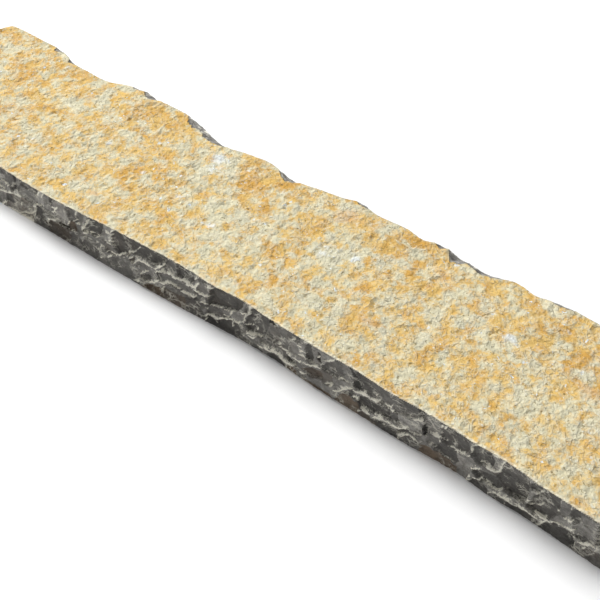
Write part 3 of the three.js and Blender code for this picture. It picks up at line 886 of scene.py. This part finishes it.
def buildStone():
    # the mesh of the points, with the finish of each and the spots of the top as attributes; a
    # spot fades out from its middle as e to the minus distance squared
    table, faces = stonePoints()
    mesh = bpy.data.meshes.new("stoneSurface")
    mesh.from_pydata((table[:, :3] - (*stone["middle"], 0)) * mm, [], faces)
    layers = dict(zip(("crust", "bruise", "tone", "brown"), table[:, 3:].T))
    for name, spots in topSpots.items():
        layers[name] = sum(
            amount * np.exp(-((table[:, 0] - x) / halfX) ** 2 - ((table[:, 1] - y) / halfY) ** 2)
            for x, y, halfX, halfY, amount in spots
        )
    for name, values in layers.items():
        mesh.attributes.new(name, "FLOAT", "POINT").data.foreach_set("value", values)
    mesh.update()
    mesh.shade_smooth()
    mesh.set_sharp_from_angle(angle=stone["crisp"])
    surface = bpy.data.objects.new("stoneSurface", mesh)
    bpy.context.scene.collection.objects.link(surface)
    triangles = sum(len(p.vertices) - 2 for p in mesh.polygons)
    print("stone surface:", len(mesh.vertices), "points,", triangles, "triangles")
    return surface


class Wire:
    # One output of a node. Arithmetic on it adds Math nodes, and node() adds any other.
    def __init__(self, tree, socket=None):
        self.tree = tree
        self.socket = socket

    def node(self, kind, settings, values, output=0):
        # the settings first, then the value or the link of each socket
        made = self.tree.nodes.new(kind)
        for name, setting in settings.items():
            setattr(made, name, setting)
        for key, value in values.items():
            if isinstance(value, Wire):
                self.tree.links.new(value.socket, made.inputs[key])
            else:
                made.inputs[key].default_value = value
        return Wire(self.tree, made.outputs[output])

    def math(self, operation, *values):
        return self.node("ShaderNodeMath", {"operation": operation}, dict(enumerate(values)))

    def __add__(self, other):
        return self.math("ADD", self, other)

    def __sub__(self, other):
        return self.math("SUBTRACT", self, other)

    def __rsub__(self, other):
        return self.math("SUBTRACT", other, self)

    def __mul__(self, other):
        return self.math("MULTIPLY", self, other)

    __radd__ = __add__
    __rmul__ = __mul__

    def most(self, other):
        return self.math("MAXIMUM", self, other)

    def rise(self, low, high):
        # 0 below low and 1 above high, with a smooth step between
        settings = {"interpolation_type": "SMOOTHSTEP"}
        return self.node("ShaderNodeMapRange", settings, {0: self, 1: low, 2: high})

    def tint(self, under, over):
        # the colour under where this is 0, and the colour over where it is 1
        return self.node("ShaderNodeMix", {"data_type": "RGBA"}, {0: self, 6: under, 7: over}, 2)

    def shade(self, colour):
        # the colour times this value
        product = {"operation": "SCALE"}
        return self.node("ShaderNodeVectorMath", product, {0: colour, 3: self})

    def grain(self, size, detail=2.0, roughness=0.5, pick=0.0, output=0):
        # noise on a place in metres, about 0.2 to 0.8, with lumps of this size in millimetres;
        # each pick is another pattern, and output 1 is a vector of three such noises
        values = {
            "Vector": self, "W": pick, "Scale": 1 / (size * mm),
            "Detail": detail, "Roughness": roughness,
        }
        return self.node("ShaderNodeTexNoise", {"noise_dimensions": "4D"}, values, output)

    def vector(self, operation, other):
        # vector arithmetic; a dot product comes out of the second output
        output = 1 if operation == "DOT_PRODUCT" else 0
        settings = {"operation": operation}
        return self.node("ShaderNodeVectorMath", settings, {0: self, 1: other}, output)

    def shift(self, reach):
        # a vector of noises as an offset of at most about half this many metres each way
        return self.vector("SUBTRACT", (0.5, 0.5, 0.5)).vector("MULTIPLY", (reach, reach, reach))

    def cells(self, size, feature="F1", output=0):
        # a scatter of cells about this many millimetres wide
        values = {"Vector": self, "Scale": 1 / (size * mm)}
        return self.node("ShaderNodeTexVoronoi", {"feature": feature}, values, output)

    def splinters(self, size):
        # cells each with its own grey from 0 to 1 and, as a height in millimetres, its own slanted
        # plane through the middle of the cell
        cell = self.cells(size, output=1)
        middle = Wire(self.tree, cell.socket.node.outputs["Position"])
        slope = cell.vector("SUBTRACT", (0.5, 0.5, 0.5))
        plane = slope.vector("DOT_PRODUCT", self.vector("SUBTRACT", middle))
        grey = self.node("ShaderNodeSeparateXYZ", {}, {0: cell})
        return grey, plane * (1 / mm)

    def crumbs(self, size):
        # rounded crumbs each with its own grey from 0 to 1, and twice the squared distance from
        # the middle of the crumb, in crumbs, which is most in the crevices
        cell = self.cells(size, output=1)
        away = Wire(self.tree, cell.socket.node.outputs["Distance"])
        grey = self.node("ShaderNodeSeparateXYZ", {}, {0: cell})
        return grey, away * away * 2

    def seams(self, size, width):
        # 1 along the borders of the cells, as thin straight lines, and 0 inside them
        return 1 - self.cells(size, "DISTANCE_TO_EDGE").rise(0, width / size)


limestone = {
    "lie": (0.72, 1.25),    # how far the flakes of the top are turned, in radians, and length in widths
    "cream": (0.72, 0.67, 0.47, 1),
    "greyGreen": (0.60, 0.57, 0.41, 1),
    "ochre": (0.72, 0.49, 0.165, 1),
    "deepOchre": (0.62, 0.355, 0.085, 1),
    "crystal": (0.77, 0.84, 0.89, 1),
    # olive dirt, also used as painted shade in the hollows and pits of the top
    "oliveDirtAndShade": (0.22, 0.16, 0.05, 1),
    "rust": (0.62, 0.38, 0.17, 1),
    "rock": (0.219, 0.210, 0.193, 1),
    "brownRock": (0.245, 0.187, 0.135, 1),
    "bruised": (0.95, 0.91, 0.78, 1),
    "worn": (0.84, 0.80, 0.66, 1),
    "roughness": 0.9,
    "specular": 0.12,
}


def weatheredTop(place, stain, crystal, rust, pit):
    # the colour of the top and its height in millimetres: ochre in patches over cream and grey
    # green, then pinkish films, a painted highlight on the crowns of the lumps, worn rims of flakes,
    # olive dirt with painted shade in the hollows and pits, and white crystals and flecks
    look = limestone
    turn, longer = look["lie"]
    lain = place.node("ShaderNodeMapping", {"vector_type": "TEXTURE"}, {
        "Vector": place, "Rotation": (0, 0, turn), "Scale": (1, longer, 1),
    })
    swirl = lain.vector("ADD", lain.grain(6, 2.0, 0.5, 10.0, 1).shift(0.009))
    flake, flakeHeight = swirl.splinters(5.0)
    crumb, crevice = swirl.crumbs(2.4)
    lumps = lain.grain(4.2, 2.0, 0.55, 11.0)
    sand = lain.grain(1.4, 2.0, 0.6, 12.0)
    rim = swirl.seams(5.0, 1.1) * lain.grain(12, 2.0, 0.5, 14.0).rise(0.4, 0.6)

    patches = lain.grain(17, 4.0, 0.66, 1.0) + 0.13 * stain + 0.08 * flake
    blotch = lain.grain(9, 3.0, 0.6, 2.0) + 0.04 * flake
    pale = blotch.rise(0.36, 0.64).tint(look["greyGreen"], look["cream"])
    deep = (lain.grain(16, 4.0, 0.65, 3.0) + 0.1 * stain + 0.06 * flake).rise(0.44, 0.68)
    warm = deep.tint(look["ochre"], look["deepOchre"])
    top = patches.rise(0.43, 0.64).tint(pale, warm)
    top = (0.6 * (rust + 1.2 * (blotch - 0.5)).rise(0.2, 0.8)).tint(top, look["rust"])
    # paler on the crowns of the lumps, where the bump stands highest: a painted highlight
    top = (0.4 * (lumps + 0.3 * sand).rise(0.68, 0.85)).tint(top, look["cream"])
    top = (0.3 * rim).tint(top, look["worn"])
    # olive in the hollows, where the bump is low: dirt with painted shade
    top = (0.22 * (lumps + 0.4 * sand).rise(0.58, 0.46)).tint(top, look["oliveDirtAndShade"])
    # dark pits in the crevices between crumbs and in low lumps, with the listed clusters of pits: dirt
    # with painted shade
    pitDirtAndShade = (crevice + 0.4 * pit - 1.5 * (lumps - 0.5)).rise(1.3, 1.5)
    top = (0.6 * pitDirtAndShade).tint(top, look["oliveDirtAndShade"])
    chalk = (0.7 * crystal + 1.1 * (blotch - 0.5) + 0.9 * (lumps - 0.5)).rise(0.2, 0.7)
    fleck = (sand + 0.5 * (lumps - 0.5) + 0.12 * crystal).rise(0.68, 0.76)
    fleck = (0.85 * fleck).most(0.9 * crumb.rise(0.994, 0.999))
    top = (0.6 * chalk).most(fleck).tint(top, look["crystal"])
    return top, 3.5 * lumps + 0.3 * flakeHeight + 0.6 * sand + 0.5 * rim


def brokenRock(place, bruise, tone, brown):
    # the colour of the broken sides and their height in millimetres: splinters of slightly
    # different greys, combed where the tone is light, with pale bruises, which on the ledges that face
    # up or to the left are partly painted light, and dusty seams
    look = limestone
    earthy = brown + 0.8 * (place.grain(14, 3.0, 0.6, 7.0) - 0.5)
    rock = earthy.rise(0.0, 1.0).tint(look["rock"], look["brownRock"])
    bent = place.vector("ADD", place.grain(15, 3.0, 0.6, 21.0, 1).shift(0.008))
    drawn = bent.vector("MULTIPLY", (0.5, 1, 1))
    streaks = bent.vector("MULTIPLY", (0.12, 1, 1)).grain(1.5, 2.0, 0.6, 23.0)
    combed = bent.vector("MULTIPLY", (1, 1, 0.15)).grain(1.8, 2.0, 0.6, 24.0) - 0.5
    slab, slabHeight = drawn.splinters(9)
    chip, chipHeight = drawn.splinters(3.2)
    dust = place.grain(2.2, 3.0, 0.7, 8.0)
    grit = place.grain(1.1, 2.0, 0.6, 25.0) - 0.5

    mottle = 0.44 + 0.28 * slab + 0.15 * chip + 0.4 * dust + 0.5 * grit
    mottle = mottle + 0.4 * streaks.rise(0.5, 0.75)
    mottle = mottle + 1.6 * tone.rise(1.15, 1.5) * combed
    # the tone is the rock's own lightness; on the front's listed facets it also holds painted light and
    # shade of facets that face towards or away from the light
    rock = (tone * (0.4 + 0.6 * tone) * mottle).shade(rock)
    gate = place.grain(17, 3.0, 0.6, 22.0).rise(0.5, 0.6)
    seams = gate * (drawn.seams(9, 0.6).most(0.6 * drawn.seams(3.2, 0.4)))
    rubble = 0.8 * (dust - 0.5) + 0.3 * (chip - 0.5) + 1.1 * grit
    # pale where bruised; on the ledges that face up or to the left this is partly painted light
    crushedAndLit = (bruise + bruise.rise(0, 0.3) * rubble).rise(0.02, 0.52)
    pale = crushedAndLit.most(0.65 * seams).most(0.4 * dust.rise(0.66, 0.74))
    rock = pale.tint(rock, look["bruised"])
    return rock, 0.4 * slabHeight + 0.5 * chipHeight + 1.2 * dust * bruise.most(0.15)


def limestoneMaterial():
    # the weathered top down to a crumbling edge, the broken rock below it, and a bump of both
    look = limestone
    material = bpy.data.materials.new("limestone")
    material.use_nodes = True
    tree = material.node_tree
    shader = tree.nodes["Principled BSDF"]
    start = Wire(tree)
    place = start.node("ShaderNodeTexCoord", {}, {}, "Object")
    crust, bruise, tone, brown, *spots = (
        start.node("ShaderNodeAttribute", {"attribute_name": name}, {}, "Fac")
        for name in ("crust", "bruise", "tone", "brown", *topSpots)
    )
    top, topHeight = weatheredTop(place, *spots)
    rock, rockHeight = brokenRock(place, bruise, tone, brown)
    worn = bruise + 1.4 * (place.grain(9, 4.0, 0.7, 12.0) - 0.55)
    top = (0.55 * worn.rise(0.3, 0.8)).tint(top, look["worn"])
    edge = (crust + 1.6 * (place.grain(4, 3.0, 0.6, 9.0) - 0.5)).rise(-0.6, 0.4)
    colour = edge.tint(rock, top)
    height = edge * topHeight + (1 - edge) * rockHeight
    normal = start.node("ShaderNodeBump", {}, {"Height": height, "Distance": mm, "Strength": 1.0})
    tree.links.new(colour.socket, shader.inputs["Base Color"])
    tree.links.new(normal.socket, shader.inputs["Normal"])
    shader.inputs["Roughness"].default_value = look["roughness"]
    shader.inputs["Specular IOR Level"].default_value = look["specular"]
    return material


def addCamera():
    # the camera stands off the point it looks at, round and up by the two angles
    turn = math.radians(view["azimuth"])
    lift = math.radians(view["elevation"])
    away = Vector((
        math.sin(turn) * math.cos(lift),
        -math.cos(turn) * math.cos(lift),
        math.sin(lift),
    ))
    target = (Vector(view["lookAt"]) - Vector((*stone["middle"], 0))) * mm
    lens = bpy.data.cameras.new("camera")
    lens.lens = view["lens"]
    lens.sensor_width = view["sensor"]
    camera = bpy.data.objects.new("camera", lens)
    camera.location = target + away * view["distance"] * mm
    camera.rotation_euler = away.to_track_quat("Z", "Y").to_euler()
    bpy.context.scene.collection.objects.link(camera)
    bpy.context.scene.camera = camera


def addLamp(name, light, origin):
    # a lamp that shines from this direction, or from this place, towards the middle of the floor
    lamp = bpy.data.objects.new(name, light)
    lamp.rotation_euler = Vector(origin).to_track_quat("Z", "Y").to_euler()
    bpy.context.scene.collection.objects.link(lamp)
    return lamp


def addLight():
    # an even sky, two distant lamps, and a round softbox off the left end
    scene = bpy.context.scene
    scene.view_settings.view_transform = "Standard"
    world = bpy.data.worlds.new("studio")
    world.use_nodes = True
    sky = world.node_tree.nodes["Background"]
    sky.inputs["Color"].default_value = (1, 1, 1, 1)
    sky.inputs["Strength"].default_value = studio["sky"]
    scene.world = world
    for name, (strength, origin, spread) in studio["lamps"].items():
        sun = bpy.data.lights.new(name, "SUN")
        sun.energy = strength
        sun.angle = spread
        addLamp(name, sun, origin)
    power, place, width = studio["rake"]
    softbox = bpy.data.lights.new("rake", "AREA")
    softbox.shape = "DISK"
    softbox.energy = power
    softbox.size = width
    addLamp("rake", softbox, place).location = place


def addFloor():
    # a plain pale plane at the height the stone stands on
    bpy.ops.mesh.primitive_plane_add(size=studio["floorSize"])
    floor = bpy.context.object
    floor.name = "floor"
    paint = bpy.data.materials.new("floor")
    paint.use_nodes = True
    shader = paint.node_tree.nodes["Principled BSDF"]
    shader.inputs["Base Color"].default_value = (*[studio["floorShade"]] * 3, 1)
    floor.data.materials.append(paint)


surface = buildStone()
surface.data.materials.append(limestoneMaterial())
print("limestone material:", len(surface.active_material.node_tree.nodes), "nodes")
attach(surface, "root")
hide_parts("edging_stone")
addCamera()
print("camera: lens", view["lens"], "at", view["distance"], "mm")
addLight()
addFloor()
print("studio:", len(studio["lamps"]) + 1, "lamps, the sky and the floor")
